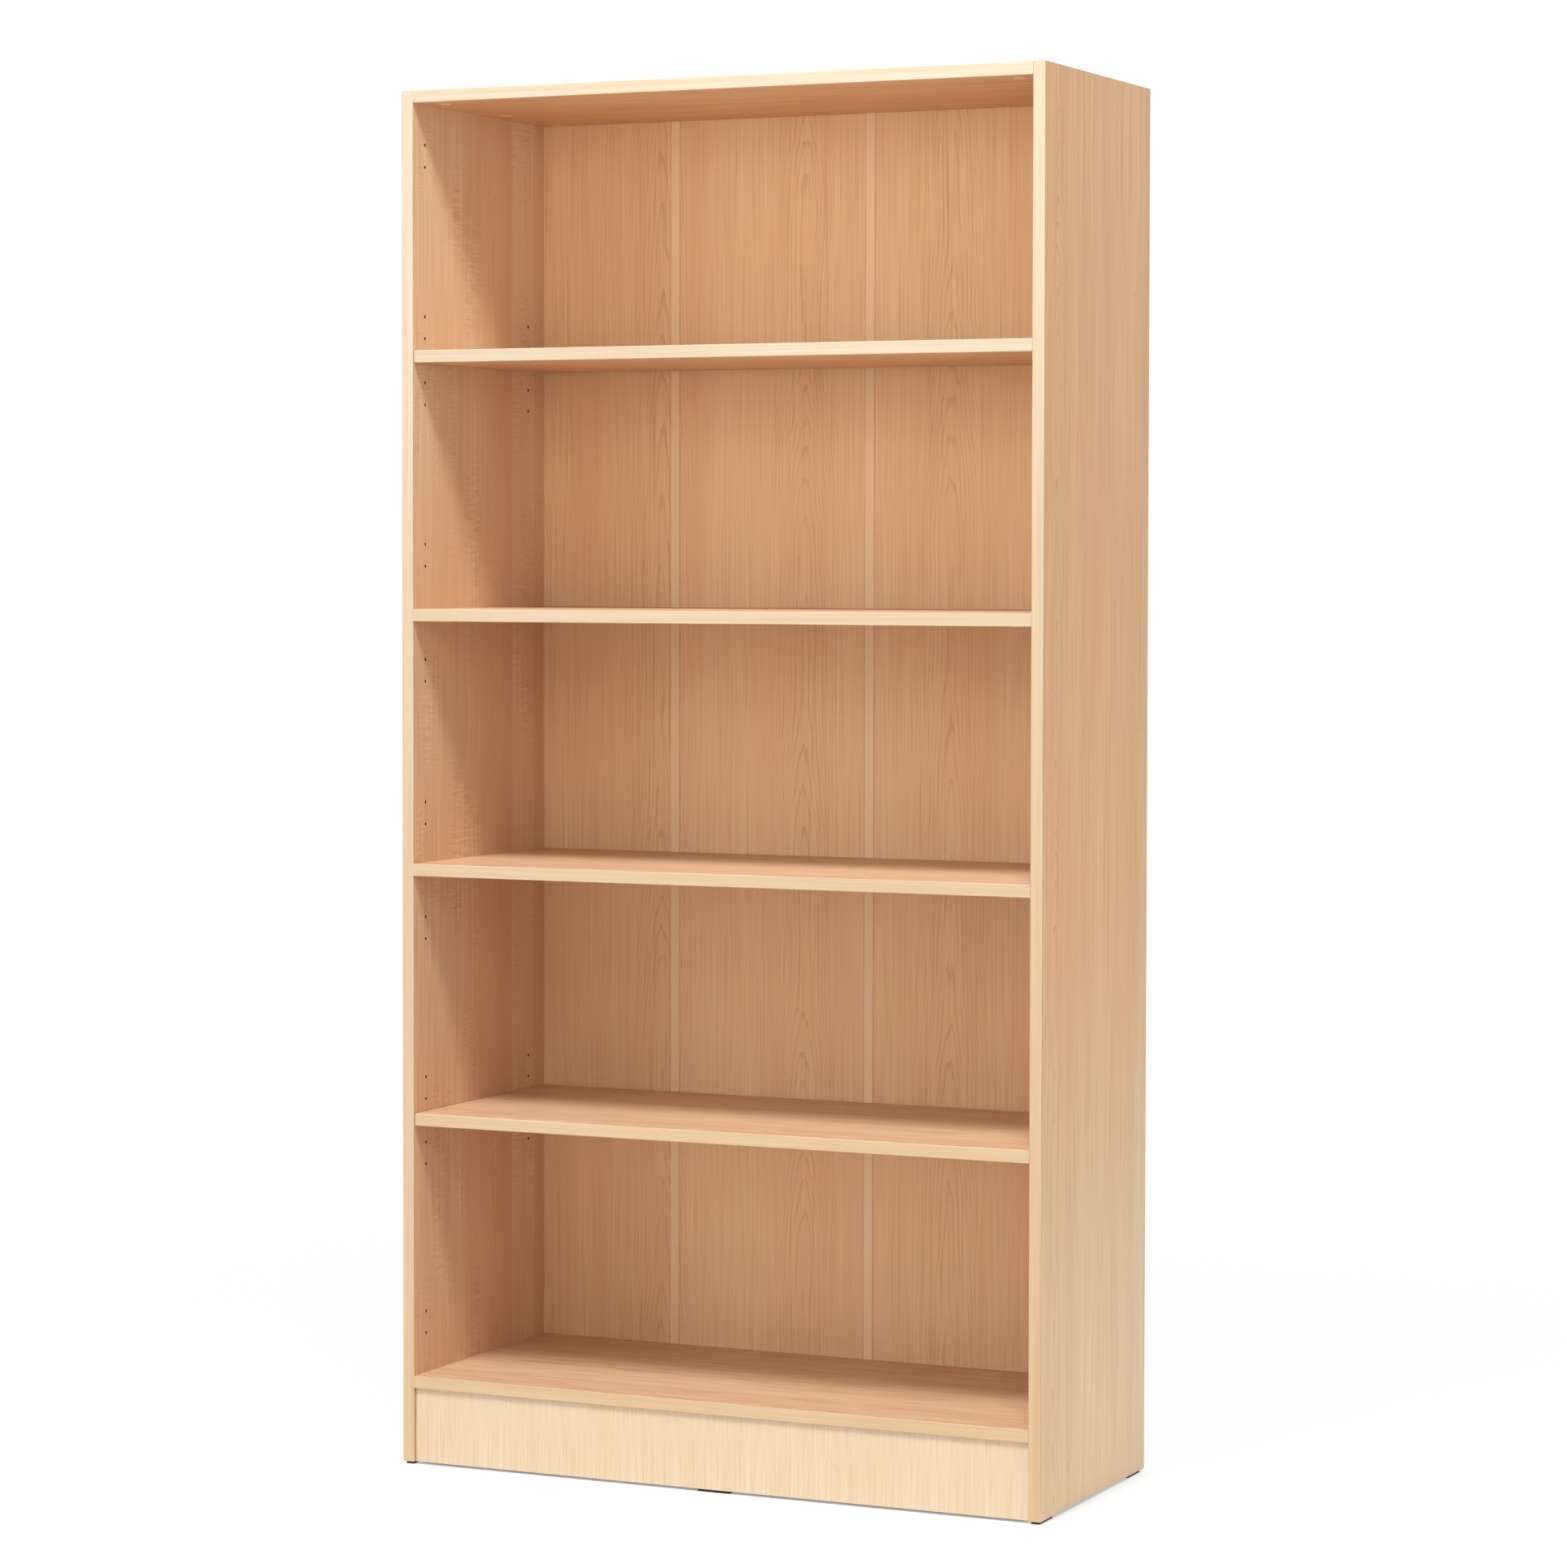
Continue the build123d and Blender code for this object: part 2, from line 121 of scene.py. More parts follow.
class Graph:
    """A node tree in the making."""

    def __init__(self, tree: bpy.types.NodeTree) -> None:
        """Start the tree afresh."""
        self.tree = tree
        tree.nodes.clear()

    def node(
        self,
        kind: str,
        settings: Optional[dict[str, Any]] = None,
        sockets: Optional[dict[Union[str, int], Any]] = None,
    ) -> Wire:
        """Make a node, set its own settings first and then fill its sockets.

        Args:
            kind: the node's type, such as ShaderNodeTexNoise.
            settings: the node's settings. "stops" gives a ramp's stops as pairs of place and colour.
            sockets: a value or a wire for each input, by its name or its place.

        Returns:
            The node's first output.
        """
        made = self.tree.nodes.new(kind)
        for name, value in (settings or {}).items():
            if name == "stops":
                self._set_stops(made.color_ramp, value)
            else:
                setattr(made, name, value)
        for key, value in (sockets or {}).items():
            socket = made.inputs[key]
            if isinstance(value, Wire):
                self.tree.links.new(value.socket, socket)
            elif socket.type == "RGBA":
                socket.default_value = (*value, 1.0)
            else:
                socket.default_value = value
        return Wire(self, made.outputs[0] if made.outputs else None)

    @staticmethod
    def _set_stops(ramp: bpy.types.ColorRamp, stops: tuple[tuple[float, Colour], ...]) -> None:
        """Give a ramp these stops in place of its own two."""
        while len(ramp.elements) < len(stops):
            ramp.elements.new(1.0)
        for element, (place, colour) in zip(ramp.elements, stops):
            element.position = place
            element.color = (*colour, 1.0)

    def math(self, operation: str, *values: Value) -> Wire:
        """Return the result of a Math node on these values."""
        return self.node("ShaderNodeMath", {"operation": operation}, dict(enumerate(values)))

    def noise(self, across: Value, along: Value, seed: float, detail: float = 1.0) -> Wire:
        """Return noise from 0 to 1 on a plane of two coordinates.

        Args:
            across: the coordinate across the grain, in widths of the noise.
            along: the coordinate along the grain, in lengths of the noise.
            seed: the slice of the noise.
            detail: how many finer layers it has.

        Returns:
            The noise.
        """
        place = self.node("ShaderNodeCombineXYZ", sockets={"X": across, "Y": along, "Z": seed})
        sockets = {"Vector": place, "Scale": 1.0, "Detail": detail}
        return self.node("ShaderNodeTexNoise", {"noise_dimensions": "3D"}, sockets)

    def ramp(self, place: Wire, stops: tuple[tuple[float, Colour], ...]) -> Wire:
        """Return the colour of a ramp at a place from 0 to 1."""
        return self.node("ShaderNodeValToRGB", {"stops": stops}, {0: place})

    def mix(self, first: Paint, second: Paint, amount: Value) -> Wire:
        """Return a mix of two colours, all first at 0 and all second at 1."""
        mixed = self.node("ShaderNodeMix", {"data_type": "RGBA"}, {0: amount, 6: first, 7: second})
        return mixed.also(2)

    def tint(self, colour: Paint, factor: Paint, amount: Value = 1.0) -> Wire:
        """Return a colour times a factor, by an amount from 0 to 1."""
        sockets = {0: amount, 6: colour, 7: factor}
        return self.node("ShaderNodeMix", {"data_type": "RGBA", "blend_type": "MULTIPLY"}, sockets).also(2)

    def place(self, centre: Vector) -> tuple[Wire, Wire, Wire]:
        """Return the object coordinates in metres, measured from a centre."""
        point = self.node("ShaderNodeTexCoord").also("Object")
        centred = self.node("ShaderNodeMapping", None, {"Vector": point, "Location": tuple(-centre)})
        split = self.node("ShaderNodeSeparateXYZ", None, {0: centred})
        return split, split.also("Y"), split.also("Z")

    def finish(self, shader: Wire, output: str = "ShaderNodeOutputMaterial") -> None:
        """Lead a shader to the tree's output."""
        self.node(output, None, {"Surface": shader})


@dataclass(frozen=True)
class Seat:
    """Where a node sits: its name, the middle of its box and the box's size, in metres."""

    name: str
    centre: Vector
    size: Vector

    @classmethod
    def of(cls, name: str) -> "Seat":
        """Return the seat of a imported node."""
        low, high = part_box(name)
        return cls(name, (low + high) / 2, high - low)


class Lie(Enum):
    """How a board lies: the axes through it, along its grain and across its grain."""

    UPRIGHT_SIDE = (0, 2, 1)
    UPRIGHT_FRONT = (1, 2, 0)
    LEVEL = (2, 0, 1)
    LEVEL_FRONT = (1, 0, 2)


def new_surface(name: str) -> tuple[bpy.types.Material, Graph]:
    """Return a new material and its empty graph."""
    material = bpy.data.materials.new(name)
    material.use_nodes = True
    return material, Graph(material.node_tree)


def close_surface(
    graph: Graph,
    colour: Paint,
    roughness: Value,
    relief: Wire,
    depth: float,
    specular: float = 0.5,
    metal: float = 0.0,
) -> None:
    """End a material in one shader.

    Args:
        graph: the material's graph.
        colour: its base colour.
        roughness: its roughness.
        relief: the height of its surface, about 0 to 1.
        depth: how deep a step of 1 in the relief is, in metres.
        specular: how strongly it reflects, 0.5 for common plastic.
        metal: 1 for a metal.
    """
    bump = graph.node("ShaderNodeBump", None, {"Strength": 1.0, "Distance": depth, "Height": relief})
    sockets = {
        "Base Color": colour,
        "Roughness": roughness,
        "Metallic": metal,
        "Specular IOR Level": specular,
        "Normal": bump,
    }
    graph.finish(graph.node("ShaderNodeBsdfPrincipled", None, sockets))


@dataclass(frozen=True)
class Streak:
    """Streaks of one size along the grain, as stretched noise about zero.

    Sizes are in metres. The contrast is a share of the way from the print's dark tone to its light one.
    """

    width: float
    length: float
    contrast: float
    detail: float = 2.0

    def tone(self, graph: Graph, across: Wire, along: Wire, seed: float) -> Wire:
        """Return the streaks' change of tone."""
        noise = graph.noise(across * (1 / self.width), along * (1 / self.length), seed, self.detail)
        return (noise - 0.5) * self.contrast


@dataclass(frozen=True)
class Rings:
    """Growth rings cut nearly along the trunk, which show as nested arches down the middle of each figure.

    A ring lies where r / spacing + along / step passes a whole number. r is the root of a squared plus d
    squared, where a is the distance across the print from the nearest figure's middle and d is the depth of
    the cut. The trunk's taper moves the rings on by one over each step along the grain, with slow drifts.
    """

    middle: float
    pitch: float
    spacing: float
    depth: float
    step: float
    reach: float
    contrast: float
    drift: float = 5.0
    sway: float = 0.012

    def tone(self, graph: Graph, across: Wire, along: Wire, seed: float) -> Wire:
        """Return the rings' change of tone, darker in thin lines."""
        figure = graph.math("FLOOR", across * (1 / self.pitch) + (0.5 - self.middle / self.pitch)) * 17.3
        sway = graph.noise(figure, along * (0.45 / self.step), seed + 3, 2.0) - 0.5
        aside = graph.math("PINGPONG", across + sway * self.sway - self.middle, self.pitch / 2)
        drift = graph.noise(figure, along * (0.2 / self.step), seed + 1, 1.0) - 0.5
        radius = graph.math("SQRT", aside * aside + self.depth * self.depth)
        ripple = graph.noise(across * 90.0, along * 11.0, seed + 2, 2.0) - 0.5
        steps = along * (1 / self.step) + drift * (2 * self.drift)
        turn = graph.math("FRACT", radius * (1 / self.spacing) + steps + ripple * 1.2)
        line = turn.rise(0.62, 0.9) * (1 - turn.rise(0.92, 1.0))
        faint = graph.noise(across * 45.0, along * 7.0, seed + 4, 1.0).rise(0.3, 0.52)
        near = 1 - aside.rise(0.3 * self.reach, self.reach)
        return line * near * faint * -self.contrast


@dataclass(frozen=True)
class Curl:
    """Short ripples across the grain, in scattered patches where the fibres bend."""

    width: float = 0.03
    length: float = 0.0042
    patch_width: float = 0.05
    patch_length: float = 0.22
    contrast: float = 0.9

    def tone(self, graph: Graph, across: Wire, along: Wire, seed: float) -> Wire:
        """Return the ripples' change of tone."""
        ripple = graph.noise(across * (1 / self.width), along * (1 / self.length), seed, 1.0) - 0.5
        patch = graph.noise(across * (1 / self.patch_width), along * (1 / self.patch_length), seed + 1, 1.0)
        return ripple * patch.rise(0.47, 0.64) * self.contrast


@dataclass(frozen=True)
class Flecks:
    """Short dark marks along the grain, each in the middle of its own cell of the print."""

    cell_width: float = 0.09
    cell_length: float = 0.3
    size: float = 0.035
    contrast: float = 0.5

    def tone(self, graph: Graph, across: Wire, along: Wire, seed: float) -> Wire:
        """Return the marks' change of tone, dark within a small distance of a scattered point."""
        sockets = {"X": across * (1 / self.cell_width), "Y": along * (1 / self.cell_length), "Z": seed}
        point = graph.node("ShaderNodeCombineXYZ", None, sockets)
        sockets = {"Vector": point, "Scale": 1.0}
        away = graph.node("ShaderNodeTexVoronoi", {"voronoi_dimensions": "3D"}, sockets)
        return (1 - away.rise(0.2 * self.size, self.size)) * -self.contrast


@dataclass(frozen=True)
class Plank:
    """A plank of the print: its start across the board, change of tone, blush and share of curls."""

    start: float
    tone: float
    blush: float
    curl: float = 1.0


@dataclass(frozen=True)
class PaintedLight:
    """A tint that changes with the height above the floor, fitted to the photograph's shading of a face."""

    low: Colour = (1.0, 1.0, 1.0)
    high: Colour = (1.0, 1.0, 1.0)
    span: tuple[float, float] = (0.1, 1.9)

    def tint(self, graph: Graph, height: Wire) -> Wire:
        """Return the tint at a height in metres."""
        return graph.mix(self.low, self.high, height.rise(*self.span))


@dataclass(frozen=True)
class MaplePrint:
    """The maple-look print: streaks and broad bands along the grain, ring figures, curls and flecks."""

    tones: tuple[Colour, Colour, Colour]
    blush: Colour
    streaks: tuple[Streak, ...]
    rings: Rings
    curl: Curl = Curl()
    flecks: Flecks = Flecks()
    wander: float = 0.005
    jitter: float = 0.0016

    def paint(
        self,
        graph: Graph,
        across: Wire,
        along: Wire,
        seed: float,
        shift: Value = 0.0,
        flush: Value = 0.0,
        curled: Value = 1.0,
    ) -> tuple[Wire, Wire]:
        """Draw the print.

        Args:
            graph: the material's graph.
            across: the coordinate across the grain, in metres.
            along: the coordinate along the grain, in metres.
            seed: the part of the print that this piece is cut from.
            shift: a change of tone, lighter above zero.
            flush: how far the colour goes to the print's blush, besides its scattered patches.
            curled: the share of the curls that shows.

        Returns:
            The print's colour and its tone from 0 to 1.
        """
        bend = graph.noise(across * 22.0, along * 2.4, seed + 20) - 0.5
        jag = graph.noise(across * 70.0, along * 30.0, seed + 25, 2.0) - 0.5
        bent = across + bend * self.wander + jag * self.jitter
        tone = shift + (0.5 + self.rings.tone(graph, bent, along, seed + 30))
        tone = tone + self.curl.tone(graph, bent, along, seed + 40) * curled
        tone = tone + self.flecks.tone(graph, bent, along, seed + 60)
        for number, streak in enumerate(self.streaks):
            tone = tone + streak.tone(graph, bent, along, seed + number)
        dark, middle, light = self.tones
        colour = graph.ramp(tone, ((0.0, dark), (0.5, middle), (1.0, light)))
        warm = graph.noise(bent * 16.0, along * 1.3, seed + 50).rise(0.42, 0.75)
        return graph.mix(colour, self.blush, warm * 0.4 + flush), tone


@dataclass(frozen=True)
class FacedBoard:
    """Chipboard faced on both sides with the print. Chips show wherever a cut goes through a face."""

    face: MaplePrint
    chips: tuple[Colour, Colour, Colour]
    bore_shade: Colour
    near_painted_light: PaintedLight = PaintedLight()
    far_painted_light: PaintedLight = PaintedLight()
    skin: float = 0.0002
    bore_margin: float = 0.012
    roughness: float = 0.44
    chips_per_metre: float = 420.0
    plank_joint: float = 0.0006
    relief: float = 0.00006

    def core(self, graph: Graph, x: Wire, y: Wire, z: Wire) -> Wire:
        """Return the colour of pressed chips, as cells of a few millimetres in mixed tones."""
        sockets = {axis: part * self.chips_per_metre for axis, part in zip("XYZ", (x, y, z))}
        point = graph.node("ShaderNodeCombineXYZ", None, sockets)
        cell = graph.node("ShaderNodeTexVoronoi", {"feature": "F1"}, {"Vector": point, "Scale": 1.0})
        share = graph.node("ShaderNodeSeparateColor", None, {0: cell.also("Color")})
        low, middle, high = self.chips
        return graph.ramp(share, ((0.0, low), (0.55, middle), (1.0, high)))

    def material(
        self,
        seat: Seat,
        lie: Lie,
        seed: float,
        planks: tuple[Plank, ...] = (),
        edged_end: bool = False,
        facing: float = 1.0,
    ) -> bpy.types.Material:
        """Make the board's material.

        Args:
            seat: where the board sits.
            lie: how it lies.
            seed: the part of the print that it is cut from.
            planks: the planks of the print, from the front of the board.
            edged_end: whether the board's upper end is covered instead of raw.
            facing: the sign of the axis through the board on the face that shows its planks.

        Returns:
            The material.
        """
        material, graph = new_surface(f"{seat.name}_print")
        place = graph.place(seat.centre)
        through, along, across = (place[axis] for axis in lie.value)
        half = seat.size[lie.value[0]] / 2 - self.skin
        shown = through * facing > 0.0
        away = 1 - shown
        shift: Value = 0.0
        flush: Value = 0.0
        curled: Value = 1.0
        if planks:
            shift = self.planked(across, planks, [plank.tone for plank in planks]) * (shown * 0.75 + 0.25)
            flush = self.planked(across, planks, [plank.blush for plank in planks]) * shown
            curled = self.planked(across, planks, [plank.curl for plank in planks]) * (shown * 0.8 + 0.2)
        colour, tone = self.face.paint(
            graph, across + away * 1.7, along + away * 3.1, seed, shift, flush, curled
        )
        height = place[2] + seat.centre.z
        # Painted light and shade: each face is tinted by its height, the shown face and the face away each in
        # its own way.
        painted_light = graph.mix(self.near_painted_light.tint(graph, height), self.far_painted_light.tint(graph, height), away)
        colour = graph.tint(colour, painted_light)
        raw = abs(through) < half
        if edged_end:
            raw = raw * (along < seat.size[lie.value[1]] / 2 - self.skin)
        colour = graph.mix(colour, self.core(graph, *place), raw)
        # Painted shade: the walls of holes that lie well inside the board are painted dark, for the shade
        # within them.
        inside = [abs(place[axis]) < seat.size[axis] / 2 - self.bore_margin for axis in lie.value[1:]]
        colour = graph.mix(colour, self.bore_shade, raw * inside[0] * inside[1])
        roughness = self.roughness + raw * 0.4 + (0.5 - tone) * 0.12
        close_surface(graph, colour, roughness, tone, self.relief, 0.5)
        return material

    def planked(self, across: Wire, planks: tuple[Plank, ...], values: list[float]) -> Wire:
        """Return a value for each plank, each plank adding the step from the one before it."""
        total = (across > planks[0].start) * values[0]
        for plank, before, value in zip(planks[1:], values, values[1:]):
            joint = across.rise(plank.start - self.plank_joint, plank.start + self.plank_joint)
            total = total + joint * (value - before)
        return total


@dataclass(frozen=True)
class EdgeBand:
    """A band on a board's front, with fine lines along it, a glue line behind it, and arrises lightened in
    scuffed patches by wear and a painted highlight.
    """

    tones: tuple[Colour, Colour, Colour]
    glue: Colour
    painted_light: PaintedLight
    lines: Streak = Streak(0.0016, 0.2, 0.75)
    drifts: Streak = Streak(0.006, 0.5, 0.7, 1.0)
    roughness: float = 0.4
    arris_start: float = 0.0013
    arris_end: float = 0.0002
    seam: float = 0.00018
    relief: float = 0.00005

    def material(
        self, seat: Seat, lie: Lie, seed: float, roll: Colour = (1.0, 1.0, 1.0)
    ) -> bpy.types.Material:
        """Make the band's material.

        Args:
            seat: where the band sits.
            lie: how it lies.
            seed: the part of the roll that it is cut from.
            roll: a painted light and shade tint for this band; the sides' bands use it to even out the lamps'
                stronger light on the right.

        Returns:
            The material.
        """
        material, graph = new_surface(f"{seat.name}_foil")
        place = graph.place(seat.centre)
        through, along, across = (place[axis] for axis in lie.value)
        edge = seat.size[lie.value[2]] / 2
        # Partly wear, partly a painted highlight: the tone rises in scuffed patches near both arrises.
        arris_wear_and_highlight = abs(across).rise(edge - self.arris_start, edge - self.arris_end)
        scuffs = graph.noise(across * 300.0, along * 40.0, seed + 7, 2.0).rise(0.35, 0.7)
        lines = self.lines.tone(graph, across, along, seed)
        tone = lines + self.drifts.tone(graph, across, along, seed + 3)
        tone = tone + arris_wear_and_highlight * scuffs * 0.3 + 0.5
        dark, middle, light = self.tones
        colour = graph.ramp(tone, ((0.0, dark), (0.5, middle), (1.0, light)))
        # Painted light: the band is tinted by its height and by its own painted light and shade tint.
        colour = graph.tint(graph.tint(colour, self.painted_light.tint(graph, place[2] + seat.centre.z)), roll)
        seam = through > seat.size[lie.value[0]] / 2 - self.seam
        colour = graph.mix(colour, self.glue, seam * 0.6)
        close_surface(graph, colour, self.roughness + arris_wear_and_highlight * scuffs * 0.15, tone, self.relief, 0.4)
        return material


@dataclass(frozen=True)
class BackBoard:
    """Thin fibreboard, printed in front and bare behind, with a painted shadow line beside each joining
    strip.
    """

    face: MaplePrint
    bare: tuple[Colour, Colour, Colour]
    strip_shadow: Colour = (0.8, 0.77, 0.75)
    shadow_start: float = 0.0004
    shadow_end: float = 0.0024
    roughness: float = 0.5
    relief: float = 0.00006

    def material(self, seat: Seat, seed: float, strips: list[Seat]) -> bpy.types.Material:
        """Make a back panel's material.

        Args:
            seat: where the panel sits.
            seed: the part of the print that all panels are cut from, side by side.
            strips: where the strips sit that lap over the panels.

        Returns:
            The material.
        """
        material, graph = new_surface(f"{seat.name}_print")
        x, y, z = graph.place(Vector((0.0, seat.centre.y, 0.0)))
        colour, tone = self.face.paint(graph, x, z, seed)
        for strip in strips:
            # Painted shadow: a thin dark line on the panel beside each edge of each strip.
            beside = abs(abs(x - strip.centre.x) - strip.size.x / 2)
            colour = graph.tint(colour, self.strip_shadow, 1 - beside.rise(self.shadow_start, self.shadow_end))
        fibres = graph.noise(x * 900.0, z * 260.0, seed + 5, 3.0)
        clouds = graph.noise(x * 14.0, z * 10.0, seed + 6, 3.0)
        low, middle, high = self.bare
        behind = graph.ramp(fibres * 0.5 + clouds * 0.5, ((0.25, low), (0.5, middle), (0.75, high)))
        bare = y > 0.001
        colour = graph.mix(colour, behind, bare)
        relief = tone * (1 - bare) + fibres * bare * 2.0
        close_surface(graph, colour, self.roughness + bare * 0.3, relief, self.relief, 0.3)
        return material


@dataclass(frozen=True)
class Plastic:
    """Moulded or drawn plastic: even colour with slight clouds, fine lines along it and scuffs."""

    colour: Colour
    pale: Colour
    roughness: float
    grain: Vector

    def material(self, name: str, seed: float) -> bpy.types.Material:
        """Make the plastic's material."""
        material, graph = new_surface(f"{name}_plastic")
        x, y, z = graph.place(Vector())
        lines = graph.noise(x * self.grain.x + y * self.grain.y, z * self.grain.z, seed, 2.0)
        clouds = graph.noise(x * 30.0 + y * 30.0, z * 12.0, seed + 1, 2.0)
        scuffs = graph.noise(x * 500.0 + y * 90.0, z * 500.0 - y * 300.0, seed + 2, 1.0).rise(0.62, 0.72)
        amount = (lines - 0.5) * 0.35 + clouds.rise(0.35, 0.7) * 0.3 + scuffs * 0.25
        colour = graph.mix(self.colour, self.pale, amount)
        close_surface(graph, colour, self.roughness + scuffs * 0.2, lines, 0.00004, 0.4)
        return material


@dataclass(frozen=True)
class PlatedMetal:
    """Plated or cast metal: bright with dull clouds and fine scratches."""

    colour: Colour
    dull: Colour
    roughness: float

    def material(self, name: str, seed: float) -> bpy.types.Material:
        """Make the metal's material."""
        material, graph = new_surface(f"{name}_metal")
        x, y, z = graph.place(Vector())
        clouds = graph.noise(x * 200.0 + y * 60.0, z * 200.0 + y * 140.0, seed, 3.0)
        scratches = graph.noise(x * 2400.0 + y * 300.0, z * 300.0 + y * 900.0, seed + 1, 2.0)
        dulled = clouds.rise(0.4, 0.7)
        colour = graph.mix(self.colour, self.dull, dulled * 0.7)
        roughness = self.roughness + dulled * 0.25 + (scratches - 0.5) * 0.2
        close_surface(graph, colour, roughness, scratches, 0.00002, 0.5, 1.0)
        return material


@dataclass(frozen=True)
class BareWood:
    """Turned beech without a finish: short dark flecks along the grain."""

    colour: Colour
    fleck: Colour

    def material(self, name: str, seed: float) -> bpy.types.Material:
        """Make the wood's material."""
        material, graph = new_surface(f"{name}_wood")
        x, y, z = graph.place(Vector())
        flecks = graph.noise(y * 1500.0 + z * 1300.0, x * 260.0, seed, 1.0).rise(0.55, 0.7)
        bands = graph.noise(y * 300.0 + z * 260.0, x * 20.0, seed + 1, 2.0)
        colour = graph.mix(self.colour, self.fleck, flecks * 0.5 + (bands - 0.5) * 0.5)
        close_surface(graph, colour, 0.7 + (bands - 0.5) * 0.2, flecks, 0.00005, 0.2)
        return material


CHIPS = (screen(122, 88, 58), screen(176, 138, 98), screen(214, 182, 140))
# Painted shade for the insides of holes.
BORE_SHADE = screen(66, 44, 28)
SIDE_PRINT = MaplePrint(
    (screen(200, 156, 118), screen(221, 184, 147), screen(233, 203, 171)),
    screen(214, 164, 128),
    (Streak(0.0016, 0.14, 0.9), Streak(0.0033, 0.35, 1.0), Streak(0.03, 1.3, 0.3, 1.0)),
    Rings(middle=0.042, pitch=0.5, spacing=0.0042, depth=0.012, step=0.07, reach=0.045, contrast=0.35),
)
SHELF_PRINT = MaplePrint(
    (screen(187, 148, 113), screen(210, 176, 142), screen(223, 196, 166)),
    screen(206, 166, 135),
    (
        Streak(0.0022, 0.2, 1.0),
        Streak(0.007, 0.08, 1.0),
        Streak(0.014, 0.4, 0.8),
        Streak(0.04, 1.3, 0.4, 1.0),
    ),
    Rings(middle=-0.03, pitch=0.19, spacing=0.006, depth=0.016, step=0.12, reach=0.07, contrast=0.2),
    wander=0.014,
)
BACK_PRINT = MaplePrint(
    (screen(221, 176, 130), screen(243, 205, 159), screen(251, 221, 182)),
    screen(236, 187, 144),
    (Streak(0.0014, 0.2, 1.1), Streak(0.0036, 0.35, 0.65), Streak(0.035, 1.6, 0.25, 1.0)),
    Rings(middle=-0.043, pitch=0.237, spacing=0.005, depth=0.016, step=0.1, reach=0.075, contrast=0.36),
    Curl(contrast=0.12),
    Flecks(contrast=0.25),
)
PLINTH_PRINT = MaplePrint(
    (screen(203, 172, 134), screen(212, 191, 161), screen(220, 202, 177)),
    screen(215, 184, 148),
    (Streak(0.0017, 0.12, 1.6), Streak(0.005, 0.25, 0.4), Streak(0.03, 0.4, 0.2)),
    Rings(middle=0.02, pitch=0.31, spacing=0.0044, depth=0.03, step=0.09, reach=0.14, contrast=0.12),
    Curl(contrast=0.1),
    Flecks(contrast=0.15),
    wander=0.016,
)
SHELF_PLANKS = (
    Plank(-0.3, -0.14, 0.05, 0.4),
    Plank(-0.118, -0.04, 0.0, 0.4),
    Plank(-0.031, -0.14, 0.08, 0.4),
    Plank(0.068, -0.08, 0.0, 0.4),
    Plank(0.147, -0.16, 0.05, 0.4),
)
# The side planks' tones are partly the print's own and partly painted light: the rear planks of the inner
# faces are lighter, to fill in the shade towards the back.
SIDE_PLANKS_WITH_PAINTED_LIGHT = (
    Plank(-0.3, -0.16, 0.0, 0.9),
    Plank(-0.097, -0.1, 0.0, 1.3),
    Plank(-0.006, 0.05, 0.45, 0.8),
    Plank(0.097, 0.2, 0.1, 1.9),
    Plank(0.168, 0.2, 0.45, 1.2),
)
# Painted light and shade: the sides' inner faces grow lighter and cooler towards the top, their outer faces
# lighter and paler towards the floor, and the shelves' undersides are a darker, warmer shaded copy of their
# tops.
FACED_BOARD = {
    "side": FacedBoard(
        SIDE_PRINT,
        CHIPS,
        BORE_SHADE,
        PaintedLight((0.96, 0.94, 0.94), (1.05, 1.16, 1.23), (0.6, 1.9)),
        PaintedLight((1.12, 1.22, 1.19), (1.16, 1.02, 0.79), (0.2, 0.9)),
    ),
    "shelf": FacedBoard(SHELF_PRINT, CHIPS, BORE_SHADE, PaintedLight(), PaintedLight((1.05, 0.9, 0.8), (1.05, 0.9, 0.8))),
    "plinth": FacedBoard(PLINTH_PRINT, CHIPS, BORE_SHADE),
}
# Painted light on the bands: paler and cooler towards the top, warmer towards the floor.
EDGE_BAND = EdgeBand(
    (screen(188, 160, 125), screen(200, 176, 144), screen(210, 192, 166)),
    screen(130, 96, 64),
    PaintedLight((1.03, 0.971, 0.883), (0.968, 1.03, 1.124)),
)
BACK_BOARD = BackBoard(BACK_PRINT, (screen(96, 66, 42), screen(128, 92, 60), screen(158, 118, 80)))
STRIP = Plastic(screen(249, 217, 175), screen(251, 222, 184), 0.45, Vector((1800.0, 600.0, 6.0)))
CAP = Plastic(screen(232, 200, 158), screen(242, 218, 184), 0.45, Vector((260.0, 220.0, 200.0)))
GLIDE = Plastic(screen(12, 11, 11), screen(40, 38, 36), 0.55, Vector((700.0, 700.0, 900.0)))
STEEL = PlatedMetal(screen(206, 206, 208), screen(150, 150, 152), 0.3)
ZINC = PlatedMetal(screen(188, 189, 192), screen(138, 139, 142), 0.45)
BEECH = BareWood(screen(222, 186, 140), screen(168, 120, 80))


def dress(name: str, material: bpy.types.Material) -> None:
    """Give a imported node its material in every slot."""
    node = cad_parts[name]
    for slot in node.material_slots:
        slot.material = material
    log.info("dressed %s with %s", name, material.name)


